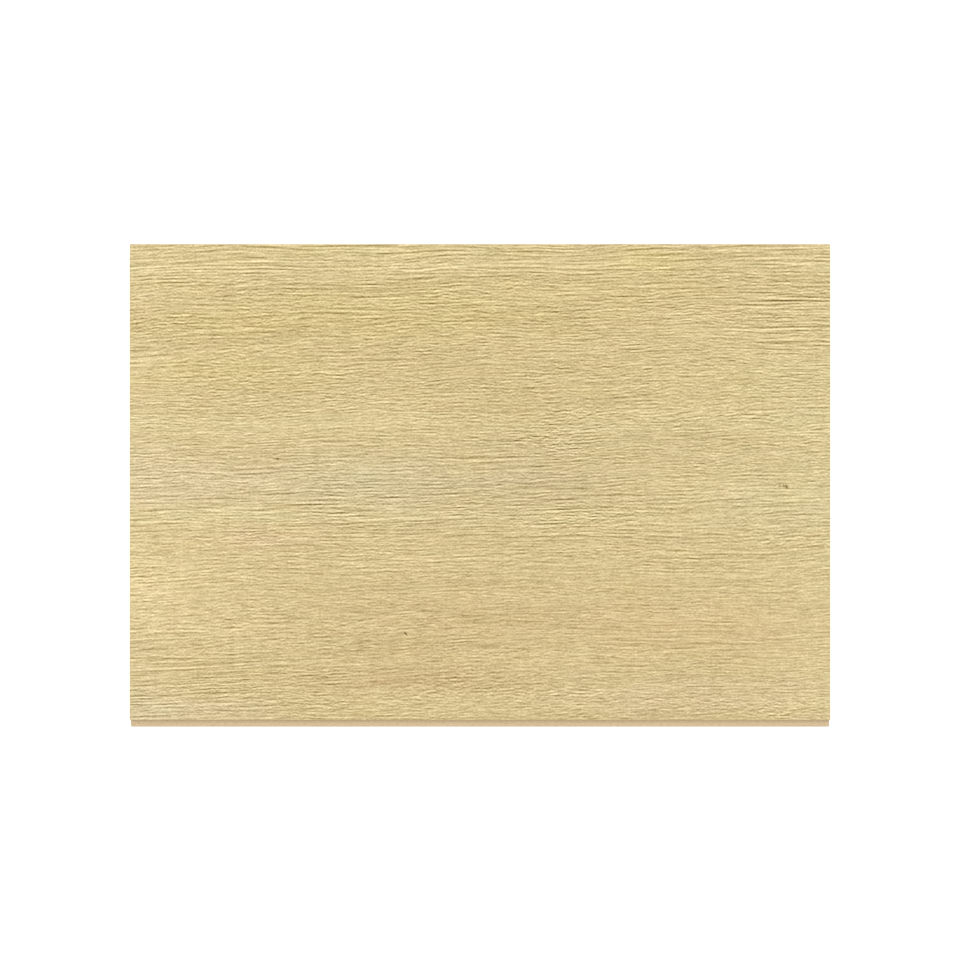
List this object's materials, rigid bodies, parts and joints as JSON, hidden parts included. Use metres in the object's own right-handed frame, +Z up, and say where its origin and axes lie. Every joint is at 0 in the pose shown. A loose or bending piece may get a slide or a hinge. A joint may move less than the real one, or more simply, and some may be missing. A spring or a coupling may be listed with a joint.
{
  "type": "laminate floor plank, short cut piece",
  "caption": "Short crosscut piece of laminate floor plank with a light oak decor face, a tongue on one long edge, the matching groove on the other and square sawn ends.",
  "frame": {"origin": "on the underside, below the middle of the decor face", "axes": "+X along the length and the grain, +Y across the width from the tongue edge to the groove edge, +Z up out of the decor face"},
  "size_m": [0.284, 0.196, 0.008],
  "materials": {
    "laminate": "satin"
  },
  "bodies": {
    "root": {"plank": "laminate"}
  },
  "joints": []
}
